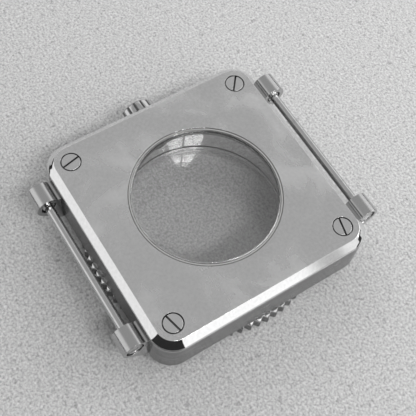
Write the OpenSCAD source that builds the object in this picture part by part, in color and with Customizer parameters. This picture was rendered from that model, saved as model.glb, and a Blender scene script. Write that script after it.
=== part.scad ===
// Empty square watch case, lying on its back: the front looks up along +Z, 12 o'clock
// points along +Y and the crown sits at 3 o'clock, along +X. The origin is the middle
// of the back face, so the case rests on z = 0. All sizes are in millimetres.

/* [Case middle] */
// Width of the square case across its flat sides
case_w = 40; // [39:0.5:44]
// Radius of the four upright corners
corner_r = 4; // [3:0.25:5]
// Height of the case middle between back ring and bezel plate
middle_h = 7.2; // [7:0.1:9]
// Diameter of the round movement space
cavity_d = 28.6; // [27:0.1:28.8]
// Height of the polished edge round the top of the case middle
edge_bevel = 0.15; // [0.1:0.05:0.3]

/* [Bezel plate] */
// Thickness of the bezel plate
plate_t = 1.6; // [1.6:0.05:2]
// Size of the 45 degree polished bevel round the plate
plate_bevel = 1.15; // [0.8:0.05:1.25]
// Height of the dark seam under the edge of the plate
seam_h = 0.2; // [0.1:0.05:0.25]
// Depth of the seam in from the side
seam_depth = 0.3; // [0.1:0.05:0.5]
// Distance of each bezel screw from the two nearest sides
screw_inset = 3.95; // [3.6:0.05:4.1]
// Diameter of a bezel screw head
screw_head_d = 3.15; // [2.6:0.05:3.2]
// Thickness of a bezel screw head
screw_head_t = 0.8; // [0.6:0.05:0.9]
// Diameter of a bezel screw shank
screw_shank_d = 1.6; // [1.2:0.1:1.8]
// Reach of a bezel screw into the case middle
screw_reach = 4; // [3:0.25:5]
// Width of the slots in the bezel screws
screw_slot_w = 0.32; // [0.2:0.02:0.5]

/* [Window] */
// Diameter of the window in the bezel plate
window_d = 25.5; // [24:0.1:25.8]
// Width of the ledge that carries the edge of the crystal
crystal_rest = 0.24; // [0.2:0.02:1.2]
// Thickness of the crystal
crystal_t = 1.0; // [0.8:0.05:1.2]
// Size of the ground bevel round the crystal
crystal_bevel = 0.2; // [0.1:0.05:0.3]
// Wall of the ring that seals the crystal
crystal_seal_w = 0.42; // [0.3:0.02:0.5]

/* [Strap bars] */
// Distance of the outer end of each lug knuckle in from the side of the case
lug_inset = 4.15; // [4.1:0.05:5]
// Length of a lug knuckle along the bar
knuckle_l = 3.75; // [3.5:0.05:4]
// Diameter of a lug knuckle
knuckle_d = 4.2; // [4.1:0.05:4.6]
// Distance of the bar axis out from the side of the case
bar_out = 2.4; // [2.25:0.05:2.6]
// Distance of the bar axis below the top of the case middle
bar_drop = 2.0; // [1.8:0.05:2.2]
// Diameter of a strap bar between the knuckles
bar_d = 1.5; // [1.4:0.05:1.8]
// Diameter of the bar journal that turns in a knuckle
journal_d = 1.2; // [1.1:0.02:1.3]
// Diameter of the head of a bar screw
bar_head_d = 2.8; // [2.4:0.05:2.9]
// Thickness of the head of a bar screw
bar_head_t = 0.55; // [0.4:0.05:0.6]
// Depth of a bar screw head below the outer knuckle face
bar_head_sunk = 0.2; // [0.1:0.05:0.3]

/* [Crown] */
// Diameter of the crown
crown_d = 6.8; // [6:0.1:7]
// Length of the crown
crown_l = 2.3; // [2.2:0.05:2.6]
// Gap between the crown and the side of the case when the crown is pushed in
crown_stand = 0.45; // [0.4:0.05:0.6]
// Distance of the crown axis below the top of the case middle
crown_drop = 4; // [3.8:0.05:4.1]
// Number of flutes round the crown
crown_flutes = 16; // [14:1:20]
// Radius of one crown flute
flute_r = 0.27; // [0.2:0.01:0.3]
// Outside diameter of the crown tube
tube_d = 2.7; // [2.5:0.05:2.8]
// Diameter of the pipe inside the crown
pipe_d = 1.5; // [1.4:0.02:1.6]
// Travel of the crown when it is pulled out
crown_pull = 0.7; // [0.5:0.05:0.7]

/* [Case back] */
// Height of the case middle above the back face
back_h = 2.8; // [2.7:0.05:3.2]
// Width of the back ring outside its thread, teeth included
ring_width = 2.8; // [2.3:0.05:2.9]
// Number of teeth round the back ring
ring_teeth = 80; // [60:2:100]
// Depth of the teeth of the back ring
tooth_depth = 0.85; // [0.5:0.05:0.9]
// Height of the sloping face on top of each tooth
tooth_slope = 0.5; // [0.3:0.05:0.6]
// Diameter of the threaded collar that the back ring screws on
collar_d = 36; // [35.6:0.1:36.6]
// Outside diameter of the case back frame
frame_d = 32; // [31.8:0.1:32.4]
// Width of the ledge in the frame that carries the edge of the glass
glass_rest = 0.4; // [0.3:0.05:1]
// Thickness of the case back glass
glass_t = 1.3; // [1:0.05:1.35]
// Depth of the glass behind the back face
glass_lift = 0.2; // [0.1:0.05:0.35]

/* [Fits] */
// Radial clearance of bores, journals and other running fits
run_gap = 0.05; // [0.03:0.01:0.08]
// Gap along an axis between faces that move past each other
end_gap = 0.05; // [0.03:0.01:0.1]
// Radial gap round a screw head in its counterbore
head_gap = 0.14; // [0.08:0.01:0.15]
// Radial gap round a seal in its groove
seal_gap = 0.04; // [0.02:0.01:0.06]

/* [Hidden] */
$fn = 96;

steel = "#b9bcbe";
dark_steel = "#8d9093";
rubber = "#1d1e20";
clear_glass = "#dfe8ea";

half_w = case_w / 2;
cavity_r = cavity_d / 2;
middle_top = back_h + middle_h;
top_z = middle_top + plate_t;
over = 0.5;

screw_x = half_w - screw_inset;
screw_seat_z = top_z - screw_head_t;
screw_sink_r = screw_head_d / 2 + head_gap;
// Turn of each screw slot, left as the screws stopped when they were tightened
slot_turn_upper_right = -78;
slot_turn_lower_right = 140;
slot_turn_lower_left = 166;
slot_turn_upper_left = 13;
bar_slot_turn_12_left = -20;
bar_slot_turn_12_right = 35;
bar_slot_turn_6_left = 10;
bar_slot_turn_6_right = 75;

window_r = window_d / 2;
ledge_z = top_z - crystal_t;
crystal_r = window_r - crystal_seal_w - seal_gap;
ledge_r = crystal_r - crystal_rest;

// The bezel gasket lies in a groove half way between cavity and screws
bezel_seal_r = cavity_r + 1.2;
bezel_seal_w = 0.9;
bezel_seal_t = 0.6;

// Small pockets for the casing clamps of the movement, at 12 and 6 o'clock
pocket_w = 2;
pocket_h = 0.9;
pocket_up = 2.2;
pocket_depth = 0.5;

bar_y = half_w + bar_out;
bar_z = middle_top - bar_drop;
knuckle_r = knuckle_d / 2;
knuckle_end = half_w - lug_inset;
knuckle_in = knuckle_end - knuckle_l;
journal_r = journal_d / 2;
// Shallow recess round the bar in the inner face of each knuckle
recess_r = bar_d / 2 + 0.55;
recess_t = 0.6;
// Rounded collar near each end of a bar, inside that recess
bar_collar_r = bar_d / 2 + 0.3;
bar_collar_t = 0.5;
bar_collar_bevel = 0.15;
bar_sink_r = bar_head_d / 2 + head_gap;
bar_sink_t = bar_head_t + bar_head_sunk;
bar_thread_r = journal_r * 0.55;
bar_thread_l = 2;
// The lower edge of a lug leaves the case bottom here and touches the knuckle
lug_foot_y = half_w + 0.5;

crown_r = crown_d / 2;
crown_in = half_w + crown_stand;
crown_out = crown_in + crown_l;
crown_wall = 0.5;
crown_bevel = 0.5;
crown_edge = 0.2;
tube_r = tube_d / 2;
tube_in = cavity_r + 1.7;
tube_out = crown_out - crown_wall - 0.3;
pipe_r = pipe_d / 2;
pipe_in = cavity_r + 0.9;
tube_bore_r = pipe_r + run_gap;
stem_thread_r = 0.45;
crown_bore_r = tube_r + 0.65;
washer_t = 0.25;
crown_seal_t = 0.5;

ring_r = collar_d / 2 + ring_width;
ring_top = back_h - 0.15;
ring_root_r = ring_r - tooth_depth;
ring_foot = 0.25;
ring_bore_r = collar_d / 2 + run_gap;
// The crown keeps 0.05 mm clear of the back ring that stands out beyond the side of the case
crown_over_ring = min(ring_r - tooth_slope - crown_in - crown_edge, 0) + 0.05;
crown_z = max(middle_top - crown_drop, ring_top + crown_r + crown_over_ring);
collar_bottom = 0.9 + end_gap;
lip_t = 0.85;
frame_r = frame_d / 2;
frame_skirt_r = frame_r - 0.8;
frame_seat_r = frame_r + run_gap;
frame_bottom = lip_t + end_gap;
frame_top = back_h - 0.35;
seat_z = back_h - 0.1;
glass_top = glass_lift + glass_t;
glass_seal_w = 0.25;
glass_r = frame_skirt_r - 0.65;
frame_open_r = glass_r - glass_rest;
glass_seat_r = glass_r + glass_seal_w;
back_seal_r = frame_r - 0.65;
back_seal_w = 0.7;
back_seal_t = 0.6;

// Block with rounded upright corners and a 45 degree bevel round its top edge
module bevelled_slab(w, r, h, bevel) {
    a = w / 2;
    for (turn = [0 : 90 : 270])
        rotate([0, 0, turn]) {
            rotate([90, 0, 0])
                linear_extrude(height = w - 2 * r, center = true)
                    polygon([[0, 0], [a, 0], [a, h - bevel], [a - bevel, h], [0, h]]);
            translate([a - r, a - r, 0])
                rotate_extrude(angle = 90)
                    polygon([[0, 0], [r, 0], [r, h - bevel], [r - bevel, h], [0, h]]);
        }
}

// Flat ring between two radii
module flat_ring(inner_r, outer_r, z0, z1) {
    rotate_extrude()
        polygon([[inner_r, z0], [outer_r, z0], [outer_r, z1], [inner_r, z1]]);
}

// Straight round bar or bore along +X
module along_x(r, x0, x1) {
    translate([x0, 0, 0])
        rotate([0, 90, 0])
            cylinder(r = r, h = x1 - x0);
}

// Places its children at the four bezel screws
module at_bezel_screws() {
    for (sx = [-1, 1])
        for (sy = [-1, 1])
            translate([sx * screw_x, sy * screw_x, 0])
                children();
}

// Places its children on the bar axes, at 12 and at 6 o'clock
module at_bars() {
    for (turn = [0, 180])
        rotate([0, 0, turn])
            translate([0, bar_y, bar_z])
                children();
}

// Point where a line from p touches a circle, on its right hand side
function touch_point(p, c, r) =
    let (
        d = norm(c - p),
        reach = sqrt(d * d - r * r),
        to_c = atan2(c[1] - p[1], c[0] - p[0]),
        spread = asin(r / d)
    )
    p + reach * [cos(to_c - spread), sin(to_c - spread)];

// Side view of one lug: y runs out from the case, z runs up
module lug_side_view() {
    foot = [lug_foot_y, back_h];
    axis = [bar_y, bar_z];
    shelf_z = bar_z + knuckle_r * 0.55;
    union() {
        translate(axis)
            circle(r = knuckle_r);
        polygon([
            [half_w - 1, back_h], foot, touch_point(foot, axis, knuckle_r), axis,
            [bar_y - knuckle_r * 0.83, shelf_z], [half_w - 1, shelf_z]
        ]);
    }
}

module lugs() {
    for (turn = [0, 180])
        rotate([0, 0, turn])
            for (side = [-1, 1])
                translate([side * (knuckle_in + knuckle_l / 2), 0, 0])
                    rotate([90, 0, 90])
                        linear_extrude(height = knuckle_l, center = true)
                            lug_side_view();
}

// Bore, inner recess and outer screw seat of the knuckle on the +X side
module knuckle_bores() {
    along_x(journal_r + run_gap, knuckle_in - over, knuckle_end + over);
    along_x(recess_r, knuckle_in - over, knuckle_in + recess_t);
    along_x(bar_sink_r, knuckle_end - bar_sink_t, knuckle_end + over);
}

module case_middle() {
    color(steel)
        difference() {
            union() {
                translate([0, 0, back_h])
                    bevelled_slab(case_w, corner_r, middle_h, edge_bevel);
                translate([0, 0, collar_bottom])
                    cylinder(r = collar_d / 2, h = back_h - collar_bottom + over);
                lugs();
            }
            translate([0, 0, -over])
                cylinder(r = cavity_r, h = middle_top + 2 * over);
            translate([0, 0, -over])
                cylinder(r = frame_seat_r, h = seat_z + over);
            flat_ring(bezel_seal_r - bezel_seal_w / 2, bezel_seal_r + bezel_seal_w / 2,
                middle_top - bezel_seal_t, middle_top + over);
            at_bezel_screws()
                translate([0, 0, middle_top - screw_reach - 0.5])
                    cylinder(r = screw_shank_d / 2 + run_gap, h = screw_reach + 1);
            translate([0, 0, crown_z])
                along_x(tube_r + 0.01, cavity_r - 1, half_w + over);
            at_bars() {
                knuckle_bores();
                mirror([1, 0, 0])
                    knuckle_bores();
            }
            for (turn = [90, 270])
                rotate([0, 0, turn])
                    translate([cavity_r - over, -pocket_w / 2, back_h + pocket_up])
                        cube([over + pocket_depth, pocket_w, pocket_h]);
        }
}

module bezel_plate() {
    color(steel)
        difference() {
            union() {
                translate([0, 0, middle_top + seam_h])
                    bevelled_slab(case_w, corner_r, plate_t - seam_h, plate_bevel);
                translate([0, 0, middle_top])
                    bevelled_slab(case_w - 2 * seam_depth, corner_r - seam_depth, seam_h + 0.15, 0.01);
            }
            translate([0, 0, ledge_z])
                cylinder(r = window_r, h = crystal_t + over);
            translate([0, 0, middle_top - over])
                cylinder(r = ledge_r, h = plate_t + 2 * over);
            at_bezel_screws() {
                translate([0, 0, screw_seat_z])
                    cylinder(r = screw_sink_r, h = screw_head_t + over);
                translate([0, 0, middle_top - over])
                    cylinder(r = screw_shank_d / 2 + run_gap, h = plate_t);
            }
        }
}

module bezel_gasket() {
    color(rubber)
        flat_ring(bezel_seal_r - bezel_seal_w / 2 + seal_gap, bezel_seal_r + bezel_seal_w / 2 - seal_gap,
            middle_top - bezel_seal_t, middle_top);
}

// One slotted bezel screw; its slot is turned about the screw axis
module bezel_screw(sx, sy, slot_turn) {
    color(dark_steel)
        translate([sx * screw_x, sy * screw_x, 0])
            difference() {
                union() {
                    rotate_extrude()
                        polygon([
                            [0, screw_seat_z], [screw_head_d / 2, screw_seat_z],
                            [screw_head_d / 2, top_z - 0.08], [screw_head_d / 2 - 0.08, top_z], [0, top_z]
                        ]);
                    translate([0, 0, middle_top - screw_reach])
                        cylinder(r = screw_shank_d / 2, h = screw_seat_z - middle_top + screw_reach + 0.1);
                }
                translate([0, 0, top_z])
                    rotate([0, 0, slot_turn])
                        cube([screw_head_d + 1, screw_slot_w, screw_head_t], center = true);
            }
}

module bezel_screw_upper_right() {
    bezel_screw(1, 1, slot_turn_upper_right);
}

module bezel_screw_lower_right() {
    bezel_screw(1, -1, slot_turn_lower_right);
}

module bezel_screw_lower_left() {
    bezel_screw(-1, -1, slot_turn_lower_left);
}

module bezel_screw_upper_left() {
    bezel_screw(-1, 1, slot_turn_upper_left);
}

module crystal() {
    color(clear_glass, 0.35)
        rotate_extrude()
            polygon([
                [0, ledge_z], [crystal_r, ledge_z], [crystal_r, top_z - crystal_bevel],
                [crystal_r - crystal_bevel, top_z], [0, top_z]
            ]);
}

module crystal_gasket() {
    color("#e4e4e0")
        flat_ring(crystal_r + seal_gap / 2, window_r - seal_gap / 2, ledge_z, top_z - 0.05);
}

module crown_tube() {
    color(dark_steel)
        translate([0, 0, crown_z])
            difference() {
                along_x(tube_r, tube_in, tube_out);
                along_x(tube_bore_r, tube_in - over, tube_out + over);
            }
}

module crown_cap() {
    color(steel)
        translate([0, 0, crown_z])
            difference() {
                translate([crown_in, 0, 0])
                    rotate([0, 90, 0])
                        rotate_extrude()
                            polygon([
                                [0, 0], [crown_r - crown_edge, 0], [crown_r, crown_edge],
                                [crown_r, crown_l - crown_bevel], [crown_r - crown_bevel, crown_l], [0, crown_l]
                            ]);
                along_x(crown_bore_r, crown_in - over, crown_out - crown_wall);
                for (i = [0 : crown_flutes - 1])
                    rotate([(i + 0.5) * 360 / crown_flutes, 0, 0])
                        translate([0, 0, crown_r + flute_r * 0.15])
                            along_x(flute_r, crown_in - over, crown_out + over);
            }
}

module crown_pipe() {
    color(dark_steel)
        translate([0, 0, crown_z])
            difference() {
                along_x(pipe_r, pipe_in, crown_out - crown_wall);
                along_x(stem_thread_r, pipe_in - over, pipe_in + 4);
            }
}

module crown_gasket() {
    color(rubber)
        translate([0, 0, crown_z])
            difference() {
                along_x(crown_bore_r - seal_gap, crown_in + washer_t + 0.15, crown_in + washer_t + 0.15 + crown_seal_t);
                along_x(tube_r + seal_gap, crown_in, crown_out);
            }
}

module crown_washer() {
    color(steel)
        translate([0, 0, crown_z])
            difference() {
                along_x(crown_bore_r - 0.01, crown_in + 0.05, crown_in + 0.05 + washer_t);
                along_x(tube_r + 0.1, crown_in - over, crown_out);
            }
}

// Toothed outline of the back ring: a straight-sided V between two tips
module ring_outline() {
    step = 360 / ring_teeth;
    polygon([
        for (i = [0 : 2 * ring_teeth - 1])
            let (r = i % 2 == 0 ? ring_r : ring_root_r)
            [r * cos(i * step / 2), r * sin(i * step / 2)]
    ]);
}

module case_back_ring() {
    color(dark_steel)
        difference() {
            intersection() {
                linear_extrude(height = ring_top)
                    ring_outline();
                rotate_extrude()
                    polygon([
                        [0, 0], [ring_r - ring_foot, 0], [ring_r, ring_foot],
                        [ring_r, ring_top - tooth_slope], [ring_r - tooth_slope, ring_top], [0, ring_top]
                    ]);
            }
            translate([0, 0, lip_t])
                cylinder(r = ring_bore_r, h = ring_top);
            translate([0, 0, -over])
                cylinder(r = frame_skirt_r + run_gap, h = ring_top);
        }
}

module case_back_frame() {
    color(steel)
        difference() {
            rotate_extrude()
                polygon([
                    [frame_open_r, frame_top], [frame_open_r, glass_top + 0.1], [glass_seat_r, glass_top + 0.1],
                    [glass_seat_r, 0.1], [frame_skirt_r, 0.1], [frame_skirt_r, frame_bottom],
                    [frame_r, frame_bottom], [frame_r, frame_top]
                ]);
            flat_ring(back_seal_r - back_seal_w / 2, back_seal_r + back_seal_w / 2,
                seat_z - back_seal_t, frame_top + over);
        }
}

module case_back_gasket() {
    color(rubber)
        flat_ring(back_seal_r - back_seal_w / 2 + seal_gap, back_seal_r + back_seal_w / 2 - seal_gap,
            seat_z - back_seal_t, seat_z);
}

module case_back_glass() {
    color(clear_glass, 0.35)
        translate([0, 0, glass_lift])
            cylinder(r = glass_r, h = glass_t);
}

// Ring of L section: a wall beside the glass and a thin flange above it
module case_back_glass_gasket() {
    color("#e4e4e0")
        rotate_extrude()
            polygon([
                [glass_r + seal_gap / 2, glass_lift], [glass_seat_r - seal_gap / 2, glass_lift],
                [glass_seat_r - seal_gap / 2, glass_top + 0.1], [frame_open_r + 0.1, glass_top + 0.1],
                [frame_open_r + 0.1, glass_top], [glass_r + seal_gap / 2, glass_top]
            ]);
}

// Strap bar with a collar, a thinner journal and a threaded hole at each end
module strap_bar() {
    shoulder = knuckle_in + recess_t - end_gap;
    collar_in = shoulder - bar_collar_t;
    tip = knuckle_end - bar_sink_t - end_gap;
    color(steel)
        difference() {
            for (turn = [0, 180])
                rotate([0, 0, turn])
                    rotate([0, 90, 0])
                        rotate_extrude()
                            polygon([
                                [0, -over], [bar_d / 2, -over], [bar_d / 2, collar_in],
                                [bar_collar_r - bar_collar_bevel, collar_in],
                                [bar_collar_r, collar_in + bar_collar_bevel], [bar_collar_r, shoulder],
                                [journal_r, shoulder], [journal_r, tip], [0, tip]
                            ]);
            for (turn = [0, 180])
                rotate([0, 0, turn])
                    along_x(bar_thread_r + 0.01, tip - bar_thread_l - 0.2, tip + over);
        }
}

// Slotted screw in one end of a strap bar, drawn for the +X end
module bar_screw(slot_turn) {
    seat = knuckle_end - bar_sink_t + end_gap;
    color(dark_steel)
        difference() {
            union() {
                along_x(bar_head_d / 2, seat, seat + bar_head_t);
                along_x(bar_thread_r, seat - bar_thread_l, seat + 0.1);
            }
            translate([seat + bar_head_t, 0, 0])
                rotate([slot_turn, 0, 0])
                    cube([bar_head_t, bar_head_d + 1, screw_slot_w], center = true);
        }
}

module strap_bar_12() {
    translate([0, bar_y, bar_z])
        strap_bar();
}

module strap_bar_6() {
    translate([0, -bar_y, bar_z])
        strap_bar();
}

module bar_screw_12_left() {
    translate([0, bar_y, bar_z])
        mirror([1, 0, 0])
            bar_screw(bar_slot_turn_12_left);
}

module bar_screw_12_right() {
    translate([0, bar_y, bar_z])
        bar_screw(bar_slot_turn_12_right);
}

module bar_screw_6_left() {
    translate([0, -bar_y, bar_z])
        mirror([1, 0, 0])
            bar_screw(bar_slot_turn_6_left);
}

module bar_screw_6_right() {
    translate([0, -bar_y, bar_z])
        bar_screw(bar_slot_turn_6_right);
}

case_middle();
bezel_plate();
bezel_gasket();
bezel_screw_upper_right();
bezel_screw_lower_right();
bezel_screw_lower_left();
bezel_screw_upper_left();
crystal();
crystal_gasket();
crown_tube();
crown_cap();
crown_pipe();
crown_gasket();
crown_washer();
case_back_ring();
case_back_frame();
case_back_gasket();
case_back_glass();
case_back_glass_gasket();
strap_bar_12();
strap_bar_6();
bar_screw_12_left();
bar_screw_12_right();
bar_screw_6_left();
bar_screw_6_right();
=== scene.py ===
import math

import bmesh
import bpy
from mathutils import Matrix, Vector


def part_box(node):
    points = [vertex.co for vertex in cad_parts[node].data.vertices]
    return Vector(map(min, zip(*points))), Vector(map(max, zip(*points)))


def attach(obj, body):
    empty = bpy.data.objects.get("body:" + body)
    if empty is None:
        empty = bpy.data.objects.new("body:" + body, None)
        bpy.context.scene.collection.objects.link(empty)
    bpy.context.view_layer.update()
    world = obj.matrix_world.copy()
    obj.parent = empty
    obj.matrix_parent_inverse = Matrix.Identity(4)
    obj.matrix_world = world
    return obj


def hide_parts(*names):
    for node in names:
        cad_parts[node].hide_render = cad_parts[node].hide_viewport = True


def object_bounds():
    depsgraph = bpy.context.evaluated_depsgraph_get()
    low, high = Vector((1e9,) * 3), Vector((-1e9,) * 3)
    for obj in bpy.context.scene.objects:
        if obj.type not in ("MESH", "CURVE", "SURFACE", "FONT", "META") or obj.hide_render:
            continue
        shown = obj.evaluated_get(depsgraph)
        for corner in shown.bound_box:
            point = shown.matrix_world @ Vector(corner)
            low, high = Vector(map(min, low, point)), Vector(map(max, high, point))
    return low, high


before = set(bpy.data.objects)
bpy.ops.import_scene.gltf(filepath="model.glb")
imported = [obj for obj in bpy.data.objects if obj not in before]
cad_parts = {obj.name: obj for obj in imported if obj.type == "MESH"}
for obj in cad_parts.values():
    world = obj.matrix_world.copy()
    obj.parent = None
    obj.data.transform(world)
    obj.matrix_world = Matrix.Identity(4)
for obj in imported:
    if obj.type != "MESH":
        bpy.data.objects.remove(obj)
CAD_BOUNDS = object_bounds()

bl_info = {
    "name": "Empty square watch case",
    "version": (1, 0, 0),
    "blender": (4, 5, 0),
    "location": "View3D > Sidebar > Watch case",
    "description": "Finishes the parts of an empty square watch case and lays it on a pale floor",
    "category": "Object",
}

MM = 0.001
# Points of a mesh that lie closer than this are one point
WELD_DISTANCE = 0.0005 * MM

# Heights and radii are read from the solids, so a finish stays on its own surface
PLATE_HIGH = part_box("bezel_plate")[1]
MIDDLE_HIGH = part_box("case_middle")[1]
CROWN_LOW, CROWN_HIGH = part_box("crown_cap")
RING_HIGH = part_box("case_back_ring")[1]
SEAL_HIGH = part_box("crystal_gasket")[1]
CRYSTAL_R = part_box("crystal")[1].x
CROWN_Z = (CROWN_LOW.z + CROWN_HIGH.z) / 2
CROWN_R = (CROWN_HIGH.z - CROWN_LOW.z) / 2
HALF_W = PLATE_HIGH.x
SCREW_LOW, SCREW_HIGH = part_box("bezel_screw_upper_right")
SCREW_AT = (SCREW_LOW + SCREW_HIGH) / 2
SCREW_R = (SCREW_HIGH.x - SCREW_LOW.x) / 2

# Inside a solid, where no box helps, a finish, and on the bored wall and the teeth painted light, fades
# between these radii or heights
BORED_R = (14.6 * MM, 14.8 * MM)
COLLAR_R = (17.7 * MM, 17.9 * MM)
COLLAR_TOP = (2.6 * MM, 2.75 * MM)
TEETH_R = (19.6 * MM, 19.9 * MM)
TEETH_FOOT = (0.1 * MM, 0.25 * MM)
THREAD_PITCH = 0.5 * MM
# Rings left by a tool are 0.05 to 0.08 mm apart on the real thing. To show at all they are drawn so:
TUBE_RING_PITCH = 0.2 * MM
SCREW_RING_PITCH = 0.22 * MM
BACK_RING_PITCH = 0.25 * MM
# Seals that are rebuilt with a rounded section: share of the thickness that is rounded, and steps
SEAL_ROUNDING = 0.42
SEAL_STEPS = 96
# Small pieces get a share of the edge rounding
SMALL_EDGE = 0.5
TUBE_EDGE = 0.6

# The stage, in metres and degrees. Each pane of the key lamp has its name and its shift to the side.
FLOOR_GAP = 0.02 * MM
KEY_AIM = Vector((0, 0, 5 * MM))
KEY_TOWARDS = Vector((-0.546, -0.010, 0.838)).normalized()
KEY_PANE_SIZE = (0.22, 0.136)
KEY_PANES = (("key_pane_left", 0.125), ("key_pane_right", -0.125))
# Name of each lamp, its direction, its distance and its width
SIDE_LAMP = ("side_lamp", (-0.302, -0.830, 0.47), 0.32, 0.22)
FILL_LAMPS = (
    ("fill_lamp_crown_side", (0.77, -0.15, 0.62), 0.5, 0.3),
    ("fill_lamp_far_side", (-0.75, -0.1, 0.65), 0.5, 0.3),
)
# Name of each card, its first azimuth, its sweep, its foot, its head, and whether it shades the floor
DARK_CARDS = (("camera_side_card", 85, 98, 0.02, 0.26, True), ("low_card", 0, 360, 0.0, 0.026, False))
# The room: its bright side and how far round that fades, the height where the ceiling begins, and
# the azimuths of the edges of the dim post, of the dimmer wall beyond it and of the end of that wall
BRIGHT_SIDE = Vector((-0.883, -0.317, 0.348)).normalized()
BRIGHT_FADE = (48, 15)
CEILING_EDGE = (34, 54)
POST_EDGE = (-158.2, -156.2)
BEYOND_POST_EDGE = (-155.2, -154.6)
BEYOND_POST_END = (-130, -110)
# The perspective of the photograph, solved from its outlines
CAMERA_AT = Vector((-48.654, 42.293, 130.781)) * MM
CAMERA_RIGHT = Vector((-0.53377, -0.84153, 0.08315)).normalized()
CAMERA_FORWARD = Vector((0.34507, -0.30652, -0.88712)).normalized()


def linear(hex_colour):
    """Linear RGBA for an sRGB hex colour."""
    values = []
    for start in (1, 3, 5):
        share = int(hex_colour[start:start + 2], 16) / 255
        values.append(share / 12.92 if share <= 0.04045 else ((share + 0.055) / 1.055) ** 2.4)
    return (*values, 1.0)


def rgb(hex_colour):
    """Linear RGB for the default of a colour property."""
    return linear(hex_colour)[:3]


class CaseFinishes(bpy.types.PropertyGroup):
    """Colours and polish of the parts of the case."""

    plate_colour: bpy.props.FloatVectorProperty(
        name="Bezel plate", description="Tint of the polished plate", subtype="COLOR",
        size=3, min=0, max=1, default=rgb("#dedede"))
    case_colour: bpy.props.FloatVectorProperty(
        name="Case middle", description="Tint of the brushed case middle and its lugs", subtype="COLOR",
        size=3, min=0, max=1, default=rgb("#bcbcbc"))
    trim_colour: bpy.props.FloatVectorProperty(
        name="Crown, bars and screws", description="Tint of the turned steel pieces", subtype="COLOR",
        size=3, min=0, max=1, default=rgb("#c8c8c8"))
    back_colour: bpy.props.FloatVectorProperty(
        name="Back ring and frame", description="Tint of the machined case back", subtype="COLOR",
        size=3, min=0, max=1, default=rgb("#d2d2d2"))
    seal_colour: bpy.props.FloatVectorProperty(
        name="Nylon seals", description="Colour of the moulded rings round the glasses", subtype="COLOR",
        size=3, min=0, max=1, default=rgb("#929291"))
    rubber_colour: bpy.props.FloatVectorProperty(
        name="Rubber seals", description="Colour of the moulded rubber rings", subtype="COLOR",
        size=3, min=0, max=1, default=rgb("#1d1d1e"))
    edge_width: bpy.props.FloatProperty(
        name="Edge rounding", description="Width of the tiny rounding that polishing leaves on an edge",
        subtype="DISTANCE", unit="LENGTH", min=0.0, max=0.1 * MM, default=0.03 * MM, precision=6)


class StageSettings(bpy.types.PropertyGroup):
    """Floor, lamps, cards and camera round the case."""

    floor_colour: bpy.props.FloatVectorProperty(
        name="Floor", description="Colour of the pale floor", subtype="COLOR",
        size=3, min=0, max=1, default=rgb("#ababab"))
    floor_radius: bpy.props.FloatProperty(
        name="Floor radius", description="Radius of the round floor",
        subtype="DISTANCE", unit="LENGTH", min=0.5, max=5.0, default=2.5)
    room_level: bpy.props.FloatProperty(
        name="Room level", description="Strength of the soft light from the pale room",
        min=0.0, max=3.0, default=0.95)
    key_power: bpy.props.FloatProperty(
        name="Key power", description="Power of the two panes of the key lamp together",
        subtype="POWER", unit="POWER", min=0.0, max=50.0, default=4.3)
    key_distance: bpy.props.FloatProperty(
        name="Key distance", description="Distance of the key lamp from the case",
        subtype="DISTANCE", unit="LENGTH", min=0.3, max=3.0, default=1.0)
    side_power: bpy.props.FloatProperty(
        name="Side lamp power", description="Power of the soft lamp beside the case",
        subtype="POWER", unit="POWER", min=0.0, max=10.0, default=0.5)
    fill_power: bpy.props.FloatProperty(
        name="Fill power", description="Power of each of the two wide lamps that only light the floor",
        subtype="POWER", unit="POWER", min=0.0, max=10.0, default=0.62)
    card_distance: bpy.props.FloatProperty(
        name="Card distance", description="Distance of the dark cards that the steel reflects",
        subtype="DISTANCE", unit="LENGTH", min=0.15, max=1.0, default=0.24)
    focal_length: bpy.props.FloatProperty(
        name="Focal length", description="Focal length of the camera on a sensor 36 mm wide",
        subtype="DISTANCE_CAMERA", unit="CAMERA", min=20.0, max=200.0, default=72.17)


def add_node(tree, kind, settings=None, links=None):
    """Adds one shader node. settings holds its options and unlinked sockets, by name or number.
    links holds what feeds its other sockets: a socket, or a node for that node's first output."""
    made = tree.nodes.new("ShaderNode" + kind)
    for name, value in (settings or {}).items():
        if isinstance(name, str) and name not in made.inputs:
            setattr(made, name, value)
    for name, value in (settings or {}).items():
        if not isinstance(name, str) or name in made.inputs:
            made.inputs[name].default_value = value
    for name, feed in (links or {}).items():
        source = feed.outputs[0] if isinstance(feed, bpy.types.Node) else feed
        tree.links.new(source, made.inputs[name])
    return made


def new_material(name):
    """An empty node material, its tree and its Object coordinates."""
    material = bpy.data.materials.new(name)
    material.use_nodes = True
    tree = material.node_tree
    tree.nodes.clear()
    return material, tree, add_node(tree, "TexCoord").outputs["Object"]


def distance_from_axis(tree, place, centre, along):
    """Distance of a surface point from an axis through centre, along X or Z."""
    moved = add_node(tree, "VectorMath", {"operation": "SUBTRACT", 1: centre}, {0: place})
    across = (0, 1, 1) if along == "X" else (1, 1, 0)
    flat = add_node(tree, "VectorMath", {"operation": "MULTIPLY", 1: across}, {0: moved})
    return add_node(tree, "VectorMath", {"operation": "LENGTH"}, {0: flat}).outputs["Value"]


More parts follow.
